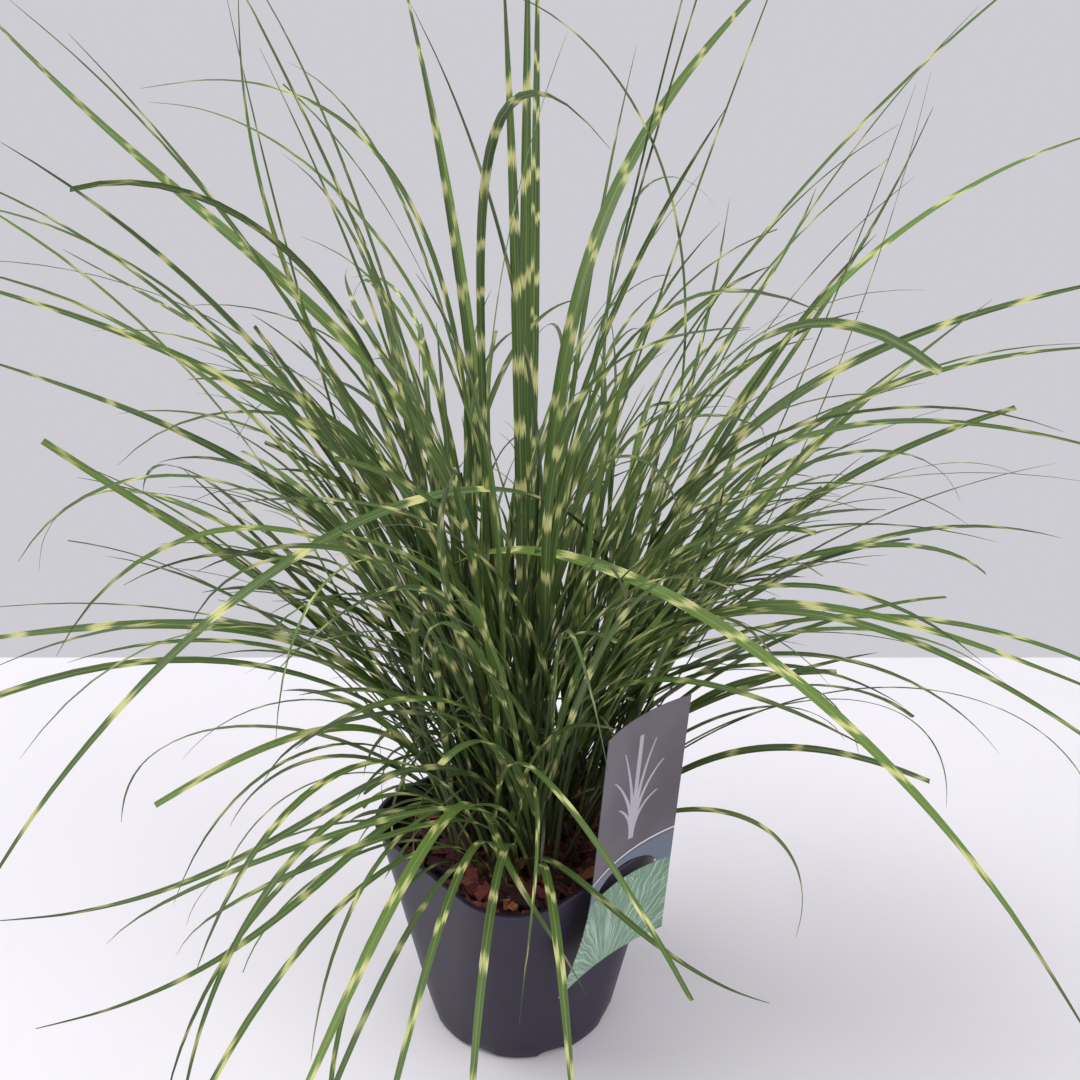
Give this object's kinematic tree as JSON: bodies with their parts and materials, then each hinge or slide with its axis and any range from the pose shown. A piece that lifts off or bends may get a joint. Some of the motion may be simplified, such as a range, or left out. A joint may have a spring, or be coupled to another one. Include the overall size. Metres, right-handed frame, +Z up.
{
  "type": "potted miscanthus grass clump",
  "caption": "Zebra-banded ornamental grass clump with arching blades, growing in a square-topped nursery pot with bark mulch and a hook-on label.",
  "frame": {"origin": "centre of the pot's underside, on the surface it stands on", "axes": "+Z up along the pot's axis; the pot's flat sides face X and Y; the label hangs on the -Y side"},
  "size_m": [0.8218, 0.8579, 0.82],
  "materials": {
    "pot_plastic": "satin dark purple-grey moulded plastic",
    "compost": "dark crumbly compost and roots",
    "bark": "rough red-brown bark chips",
    "label_plastic": "smooth printed sheet with a soft sheen",
    "stem": "smooth green stem, paler at the foot",
    "leaf": "satin green blade with irregular pale yellow cross bands and a pale midrib"
  },
  "bodies": {
    "root": {"pot": "pot_plastic", "root_ball": "compost", "bark_mulch": "bark", "plant_label": "label_plastic", "bark_chip_1": "bark", "bark_chip_2": "bark", "bark_chip_3": "bark", "bark_chip_4": "bark", "bark_chip_5": "bark", "bark_chip_6": "bark", "culm_01": "stem", "culm_02": "stem", "culm_03": "stem", "culm_04": "stem", "culm_05": "stem", "culm_06": "stem", "culm_07": "stem", "culm_08": "stem", "culm_09": "stem", "culm_10": "stem", "culm_11": "stem", "culm_12": "stem", "blade_01": "leaf", "blade_02": "leaf", "blade_03": "leaf", "blade_04": "leaf", "blade_05": "leaf", "blade_06": "leaf", "blade_07": "leaf", "blade_08": "leaf", "blade_09": "leaf", "blade_10": "leaf", "blade_11": "leaf", "blade_12": "leaf", "blade_13": "leaf", "blade_14": "leaf", "blade_15": "leaf", "blade_16": "leaf", "blade_17": "leaf", "blade_18": "leaf", "blade_19": "leaf", "blade_20": "leaf", "blade_21": "leaf", "blade_22": "leaf", "blade_23": "leaf", "blade_24": "leaf", "blade_25": "leaf", "blade_26": "leaf", "blade_27": "leaf", "blade_28": "leaf", "blade_29": "leaf", "blade_30": "leaf", "blade_31": "leaf", "blade_32": "leaf", "blade_33": "leaf", "blade_34": "leaf", "blade_35": "leaf", "blade_36": "leaf"}
  },
  "joints": []
}
